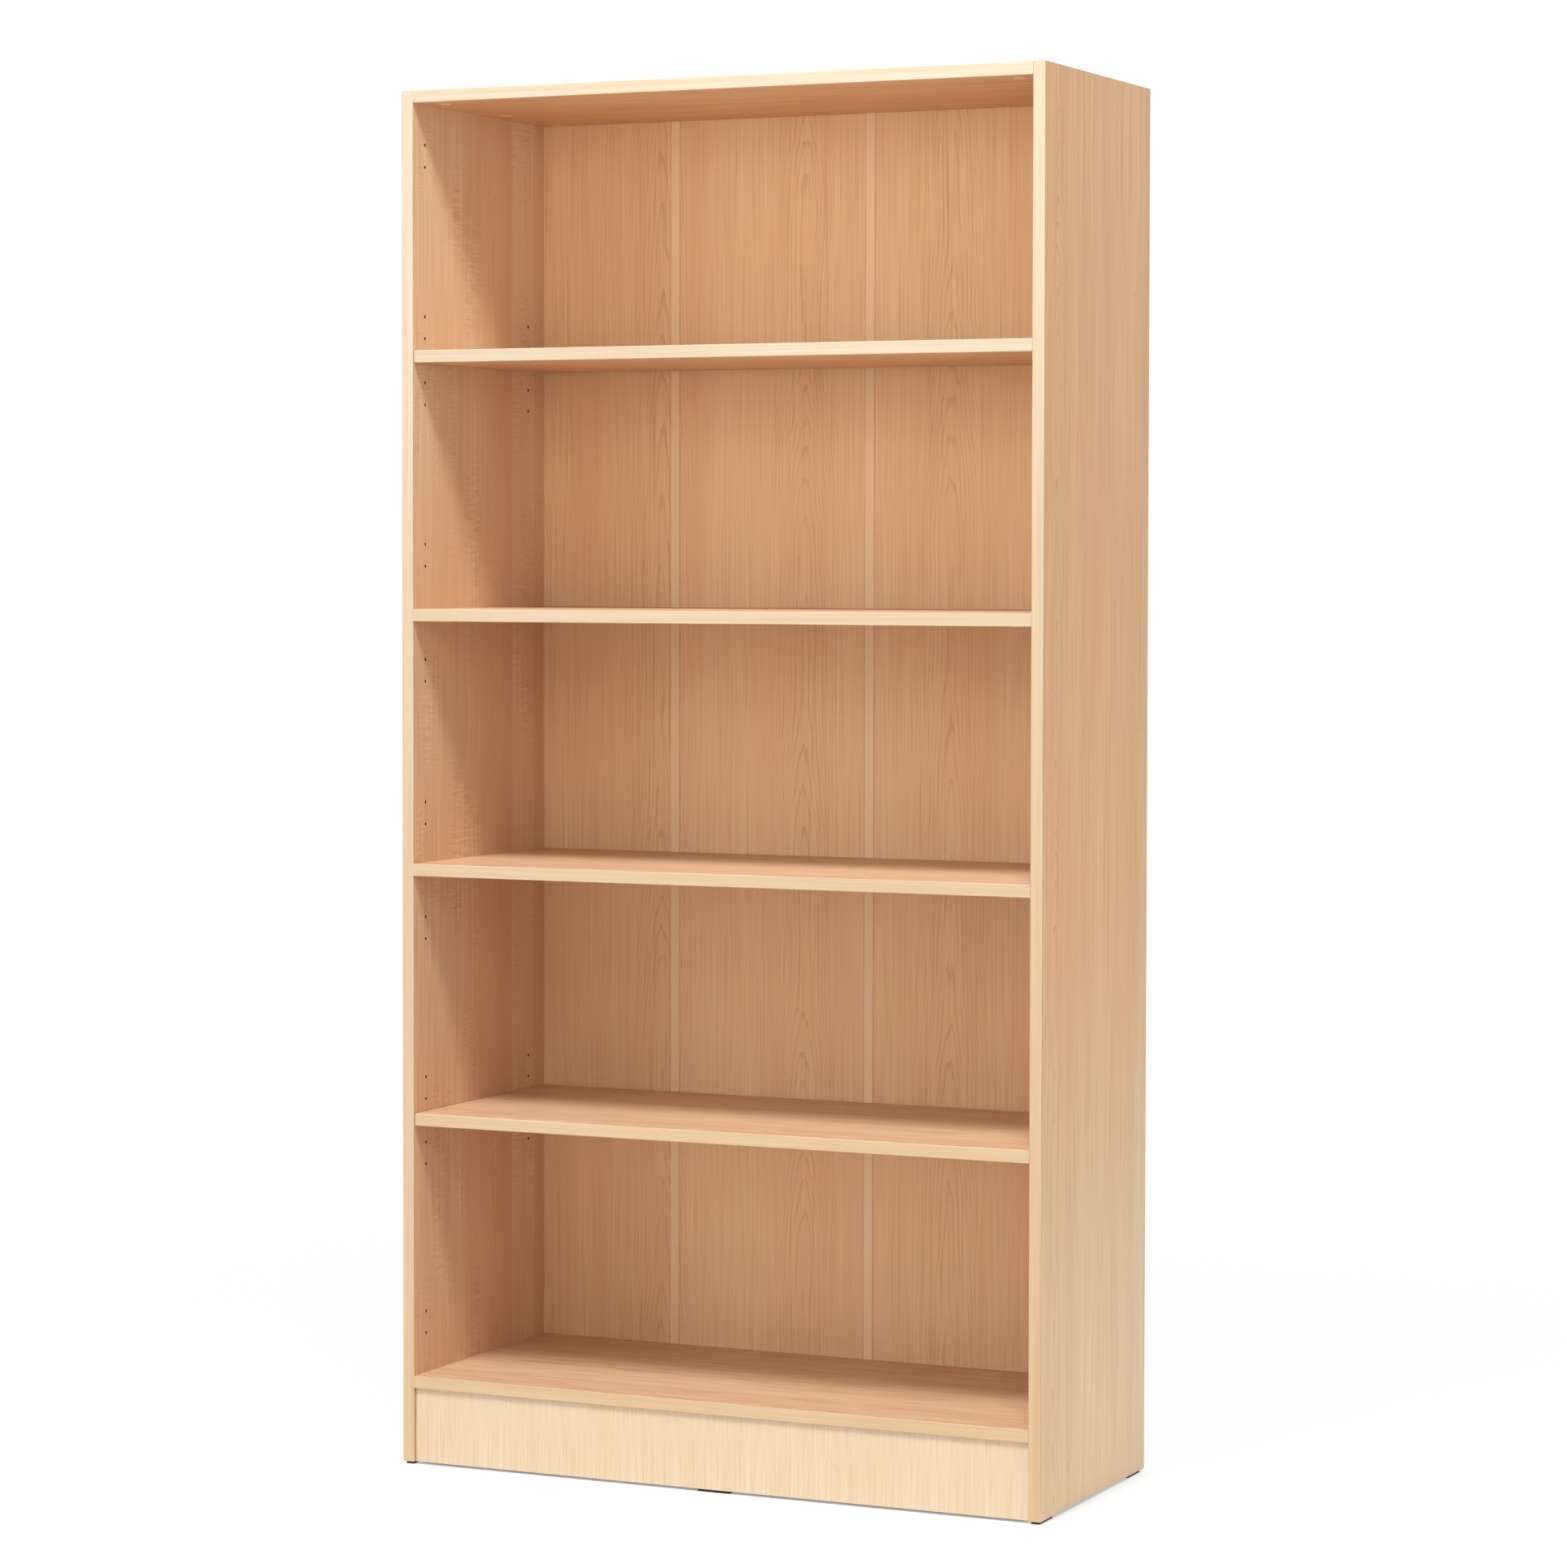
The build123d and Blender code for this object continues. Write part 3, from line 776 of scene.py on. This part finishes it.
def turned_copies(profile: np.ndarray, places: np.ndarray, outward: Vector, sides: int) -> bpy.types.Mesh:
    """Turn a profile about an axis, and repeat the turned shape at each place.

    A point is place + height * outward + radius * (cos t * first + sin t * second), with t in equal steps
    round the axis. first and second are unit vectors square to outward. The profile begins and ends on the
    axis, so that the shape is closed by one point at each end.

    Args:
        profile: rows of radius and height in metres, from the outer end to the seat.
        places: one row for the middle of each seat.
        outward: the direction that the shape stands out in.
        sides: how many steps go round.

    Returns:
        The mesh of all copies.
    """
    axis = np.array(outward)
    first = np.roll(axis, 1)
    second = np.cross(axis, first)
    turn = np.arange(sides) * math.tau / sides
    spoke = np.cos(turn)[:, None] * first + np.sin(turn)[:, None] * second
    inner = profile[1:-1]
    rings = inner[:, None, :1] * spoke + inner[:, None, 1:] * axis
    poles = profile[[0, -1], 1:] * axis
    one = np.vstack([rings.reshape(-1, 3), poles])
    points = (places[:, None, :] + one).reshape(-1, 3)
    step = np.arange(sides)
    after = (step + 1) % sides
    row = np.arange(len(inner) - 1)[:, None] * sides
    below = row + sides
    quads = np.stack([row + step, below + step, below + after, row + after], axis=-1).reshape(-1, 4)
    last = (len(inner) - 1) * sides
    near = np.full(sides, len(inner) * sides)
    outer_end = np.stack([near, step, after], -1)
    seat_end = np.stack([last + step, near + 1, last + after], -1)
    ends = np.vstack([outer_end, seat_end])
    shift = np.arange(len(places))[:, None, None] * len(one)
    faces = (quads + shift).reshape(-1, 4).tolist() + (ends + shift).reshape(-1, 3).tolist()
    mesh = bpy.data.meshes.new("turned")
    mesh.from_pydata(points.tolist(), [], faces)
    mesh.polygons.foreach_set("use_smooth", np.ones(len(mesh.polygons), dtype=bool))
    return mesh


def place_piece(
    name: str, mesh: bpy.types.Mesh, material: bpy.types.Material, body: str, node: str
) -> None:
    """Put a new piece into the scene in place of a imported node.

    Args:
        name: the piece's name.
        mesh: its mesh, already in place.
        material: its material.
        body: the body that it rides on.
        node: the node that it stands for.
    """
    mesh.name = name
    mesh.materials.append(material)
    piece = bpy.data.objects.new(name, mesh)
    bpy.context.scene.collection.objects.link(piece)
    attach(piece, body)
    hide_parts(node)
    log.info("built %s in place of %s", name, node)


@dataclass
class Sides:
    """The two full-height sides and the bands on their fronts."""

    names: tuple[str, str] = ("left_side", "right_side")
    inner_signs: tuple[float, float] = (1.0, -1.0)
    # Painted light and shade: the left band is a little lighter and the right band darker and warmer, to even
    # out the lamps' stronger light on the right.
    band_light_tints: tuple[Colour, Colour] = ((1.03, 1.03, 1.03), (0.975, 0.955, 0.905))

    def build(self) -> None:
        """Dress both sides, with the planks of their print on the inner faces."""
        for number, (name, inner) in enumerate(zip(self.names, self.inner_signs)):
            seat = Seat.of(name)
            finish = FACED_BOARD["side"]
            seed = 3.0 + 90.0 * number
            dress(name, finish.material(seat, Lie.UPRIGHT_SIDE, seed, SIDE_PLANKS_WITH_PAINTED_LIGHT, True, inner))
            band = Seat.of(f"{name}_edge_band")
            seed = 11.0 + 9.0 * number
            dress(band.name, EDGE_BAND.material(band, Lie.UPRIGHT_FRONT, seed, self.band_light_tints[number]))


@dataclass
class LevelBoards:
    """The top, the bottom, the fixed shelves and the adjustable shelves, each with a band on its front."""

    names: tuple[str, ...] = (
        "top_panel",
        "upper_adjustable_shelf",
        "upper_fixed_shelf",
        "lower_fixed_shelf",
        "lower_adjustable_shelf",
        "bottom_shelf",
    )

    def build(self) -> None:
        """Dress every board and its band, each cut from another part of the print."""
        for number, name in enumerate(self.names):
            seat = Seat.of(name)
            dress(name, FACED_BOARD["shelf"].material(seat, Lie.LEVEL, 200.0 + 83.0 * number, SHELF_PLANKS))
            band = Seat.of(f"{name}_edge_band")
            dress(band.name, EDGE_BAND.material(band, Lie.LEVEL_FRONT, 40.0 + 13.0 * number))


@dataclass
class Base:
    """The plinth, the glides that the case stands on, and their nails."""

    glides: tuple[str, ...] = ("side_glides", "plinth_glide")

    def build(self) -> None:
        """Dress the plinth, the glides and the glides' nails."""
        seat = Seat.of("plinth")
        dress("plinth", FACED_BOARD["plinth"].material(seat, Lie.UPRIGHT_FRONT, 700.0))
        for number, name in enumerate(self.glides):
            dress(name, GLIDE.material(name, 60.0 + number))
        dress("glide_nails", STEEL.material("glide_nails", 66.0))


@dataclass
class BackWall:
    """The back panels, the strips between them and the nails that hold them. Lengths are in metres."""

    panels: tuple[str, ...] = ("back_panel_left", "back_panel_middle", "back_panel_right")
    strips: tuple[str, ...] = ("joining_strip_left", "joining_strip_right")
    boards: tuple[str, ...] = ("bottom_shelf", "lower_fixed_shelf", "upper_fixed_shelf", "top_panel")
    strip_margin: float = 0.025
    end_margin: float = 0.062
    board_pitch: float = 0.130
    side_pitch: float = 0.180
    inner_half: float = 0.482
    rebate: float = 0.009
    head_radius: float = 0.0018
    head_height: float = 0.0006

    @staticmethod
    def spread(low: float, high: float, pitch: float) -> np.ndarray:
        """Return evenly spaced values from low to high, about one pitch apart."""
        return np.linspace(low, high, max(1, round((high - low) / pitch)) + 1)

    def nail_places(self) -> np.ndarray:
        """Return the middle of each nail's seat on the back: along the fixed boards, then up the sides."""
        levels = np.array([Seat.of(name).centre.z for name in self.boards])
        limit = self.inner_half - self.end_margin
        seats = [Seat.of(name) for name in self.panels]
        across = np.concatenate(
            [
                self.spread(
                    max(seat.centre.x - seat.size.x / 2 + self.strip_margin, -limit),
                    min(seat.centre.x + seat.size.x / 2 - self.strip_margin, limit),
                    self.board_pitch,
                )
                for seat in seats
            ]
        )
        up = np.concatenate(
            [
                self.spread(low + self.end_margin, high - self.end_margin, self.side_pitch)
                for low, high in zip(levels, levels[1:])
            ]
        )
        beside = np.array([-1.0, 1.0]) * (self.inner_half + self.rebate / 2)
        on_boards = np.stack(np.meshgrid(across, levels), axis=-1).reshape(-1, 2)
        on_sides = np.stack(np.meshgrid(beside, up), axis=-1).reshape(-1, 2)
        flat = np.vstack([on_boards, on_sides])
        rear = seats[0].centre.y + seats[0].size.y / 2
        return np.insert(flat, 1, rear, axis=1)

    def head_profile(self) -> np.ndarray:
        """Return a nail head's profile: a quarter ellipse from crown to rim, then flat to the axis."""
        turn = np.linspace(0.0, math.pi / 2, 6)
        dome = np.stack([np.sin(turn) * self.head_radius, np.cos(turn) * self.head_height], axis=-1)
        return np.vstack([dome, [[0.0, 0.0]]])

    def build(self) -> None:
        """Dress the panels and strips, and turn the nail heads."""
        strips = [Seat.of(name) for name in self.strips]
        for name in self.panels:
            dress(name, BACK_BOARD.material(Seat.of(name), 900.0, strips))
        for number, name in enumerate(self.strips):
            dress(name, STRIP.material(name, 70.0 + number))
        heads = turned_copies(self.head_profile(), self.nail_places(), Vector((0.0, 1.0, 0.0)), 10)
        steel = STEEL.material("back_nails", 75.0)
        place_piece("back_nail_heads", heads, steel, "case", "back_nails")


@dataclass
class Fittings:
    """Cams, bolts, cover caps, dowels and shelf pins. Lengths are in metres."""

    boards: tuple[str, ...] = ("bottom_shelf", "lower_fixed_shelf", "upper_fixed_shelf", "top_panel")
    cam_x: float = 0.448
    cam_ys: tuple[float, float, float] = (-0.169, 0.018, 0.183)
    cap_radius: float = 0.009
    cap_height: float = 0.001

    def cap_profile(self) -> np.ndarray:
        """Return a cap's profile: a shallow dish inside a low rim that rounds down to the board."""
        share = np.array(
            [
                [0.0, 0.72],
                [0.35, 0.73],
                [0.62, 0.77],
                [0.78, 0.92],
                [0.88, 1.0],
                [0.95, 0.9],
                [0.985, 0.6],
                [1.0, 0.2],
                [1.0, 0.0],
                [0.0, 0.0],
            ]
        )
        return share * np.array([self.cap_radius, self.cap_height])

    def cap_places(self) -> np.ndarray:
        """Return the middle of each cap's seat, under the ends of the fixed boards."""
        seats = [Seat.of(name) for name in self.boards]
        levels = np.array([seat.centre.z - seat.size.z / 2 for seat in seats])
        grid = np.meshgrid(np.array([-self.cam_x, self.cam_x]), np.array(self.cam_ys), levels)
        return np.stack(grid, axis=-1).reshape(-1, 3)

    def build(self) -> None:
        """Turn the caps and dress the other fittings."""
        caps = turned_copies(self.cap_profile(), self.cap_places(), Vector((0.0, 0.0, -1.0)), 28)
        plastic = CAP.material("cam_caps", 80.0)
        place_piece("cam_caps", caps, plastic, "case", "cam_cover_caps")
        for number, name in enumerate(("cam_bolts", "upper_shelf_pins", "lower_shelf_pins")):
            dress(name, STEEL.material(name, 81.0 + number))
        dress("cam_housings", ZINC.material("cam_housings", 85.0))
        for number, name in enumerate(("joint_dowels", "plinth_dowels")):
            dress(name, BEECH.material(name, 86.0 + number))


@dataclass(frozen=True)
class Lamp:
    """A soft lamp: its name, place, size, power in watts and the height on the case that it faces."""

    name: str
    place: tuple[float, float, float]
    width: float
    height: float
    power: float
    aim_height: float = 1.0

    def hang(self) -> None:
        """Hang the lamp so that it faces the case."""
        light = bpy.data.lights.new(self.name, "AREA")
        light.shape = "RECTANGLE"
        light.size = self.width
        light.size_y = self.height
        light.energy = self.power
        lamp = bpy.data.objects.new(self.name, light)
        lamp.location = self.place
        ahead = Vector((0.0, 0.0, self.aim_height)) - Vector(self.place)
        lamp.rotation_euler = ahead.to_track_quat("-Z", "Y").to_euler()
        bpy.context.scene.collection.objects.link(lamp)


@dataclass
class Studio:
    """A pale floor, an even white surround, a soft key lamp, a lamp high in front and three fill lamps.

    Lengths are in metres.
    """

    floor_half: float = 30.0
    foot_half: tuple[float, float] = (0.457, 0.163)
    shadow_reach: float = 0.08
    floor_white: float = 0.96
    paper_reach: float = 4.0
    paper: Colour = (0.86, 0.86, 0.86)
    beyond: Colour = (0.5, 0.5, 0.5)
    surround: float = 0.47
    lamps: tuple[Lamp, ...] = (
        Lamp("key_lamp", (1.3, -2.2, 4.85), 0.8, 0.8, 118.0),
        Lamp("high_lamp", (-0.25, -3.9, 6.4), 1.2, 1.0, 254.0),
        Lamp("near_fill_lamp", (0.5, -2.0, 1.95), 0.8, 0.8, 7.8, 2.1),
        Lamp("far_fill_lamp", (-4.0, -6.0, 2.2), 2.5, 2.5, 56.0),
        Lamp("side_fill_lamp", (5.5, -2.5, 1.6), 2.5, 2.5, 16.0),
    )

    @staticmethod
    def seen_rays(graph: Graph) -> Wire:
        """Return 1 for rays from the camera and rays that a surface mirrors or lets through, else 0."""
        path = graph.node("ShaderNodeLightPath")
        seen = graph.math("MAXIMUM", path.also("Is Camera Ray"), path.also("Is Glossy Ray"))
        return graph.math("MAXIMUM", seen, path.also("Is Transmission Ray"))

    def floor(self) -> None:
        """Lay the floor: a flat grid of z = 0, shown white but for the shadow round the case's foot."""
        steps = np.linspace(-self.floor_half, self.floor_half, 5)
        across, along = np.meshgrid(steps, steps)
        points = np.stack([across, along, np.zeros_like(across)], axis=-1).reshape(-1, 3)
        column, row = np.meshgrid(np.arange(4), np.arange(4))
        corner = (row * 5 + column).ravel()
        faces = np.stack([corner, corner + 1, corner + 6, corner + 5], axis=-1)
        mesh = bpy.data.meshes.new("studio_floor")
        mesh.from_pydata(points.tolist(), [], faces.tolist())
        material, graph = new_surface("studio_floor_paint")
        x, y, _ = graph.place(Vector())
        beside = graph.math("MAXIMUM", abs(x) - self.foot_half[0], 0.0)
        before = graph.math("MAXIMUM", abs(y) - self.foot_half[1], 0.0)
        away = graph.math("SQRT", beside * beside + before * before)
        far = away.rise(0.0, self.paper_reach)
        white = away.rise(0.0, self.shadow_reach) * (self.floor_white + far * (1 - self.floor_white))
        white = white * self.seen_rays(graph)
        paper = graph.mix(self.paper, self.beyond, far)
        matt = graph.node("ShaderNodeBsdfDiffuse", None, {"Color": paper})
        glow = graph.node("ShaderNodeEmission", None, {"Color": (1.0, 1.0, 1.0), "Strength": 1.0})
        graph.finish(graph.node("ShaderNodeMixShader", None, {0: white, 1: matt, 2: glow}))
        mesh.materials.append(material)
        floor = bpy.data.objects.new("studio_floor", mesh)
        bpy.context.scene.collection.objects.link(floor)

    def world(self) -> None:
        """Light the scene evenly from all round, and show the surround as white."""
        world = bpy.data.worlds.new("studio_surround")
        world.use_nodes = True
        graph = Graph(world.node_tree)
        sockets = {"Color": (1.0, 1.0, 1.0), "Strength": self.surround}
        dim = graph.node("ShaderNodeBackground", None, sockets)
        white = graph.node("ShaderNodeBackground", None, {**sockets, "Strength": 1.0})
        shown = graph.node("ShaderNodeMixShader", None, {0: self.seen_rays(graph), 1: dim, 2: white})
        graph.finish(shown, "ShaderNodeOutputWorld")
        bpy.context.scene.world = world

    def build(self) -> None:
        """Set up the floor, the surround and the lamps."""
        self.floor()
        self.world()
        for lamp in self.lamps:
            lamp.hang()
        bpy.context.scene.view_settings.view_transform = "Standard"
        log.info("set up the studio")


@dataclass
class PhotoCamera:
    """The photograph's camera. Lengths are in metres, angles in degrees and image sizes in pixels."""

    place: tuple[float, float, float] = (2.7550, -5.9494, 1.3280)
    yaw: float = -24.722
    pitch: float = -2.094
    roll: float = 0.101
    focal_length: float = 5575.0
    image_height: float = 1932.0
    optical_row: float = 889.0
    sensor: float = 36.0

    def build(self) -> None:
        """Place the camera and make it the scene's own."""
        yaw, pitch, roll = (math.radians(angle) for angle in (self.yaw, self.pitch, self.roll))
        ahead = Vector((math.sin(yaw) * math.cos(pitch), math.cos(yaw) * math.cos(pitch), math.sin(pitch)))
        level = Vector((math.cos(yaw), -math.sin(yaw), 0.0))
        upright = level.cross(ahead)
        right = math.cos(roll) * level + math.sin(roll) * upright
        above = math.cos(roll) * upright - math.sin(roll) * level
        lens = bpy.data.cameras.new("photo_camera")
        lens.sensor_width = self.sensor
        lens.lens = self.focal_length * self.sensor / self.image_height
        lens.shift_y = (self.optical_row - self.image_height / 2) / self.image_height
        lens.clip_end = 200.0
        camera = bpy.data.objects.new("photo_camera", lens)
        turned = Matrix((right, above, -ahead)).transposed().to_4x4()
        camera.matrix_world = Matrix.Translation(Vector(self.place)) @ turned
        bpy.context.scene.collection.objects.link(camera)
        bpy.context.scene.camera = camera
        log.info("placed the camera")


def main() -> None:
    """Build every sub-assembly in order, then the studio and the camera."""
    logging.basicConfig(level=logging.INFO, format="%(message)s")
    for part in (Sides(), LevelBoards(), Base(), BackWall(), Fittings(), Studio(), PhotoCamera()):
        part.build()


if __name__ == "__main__":
    main()
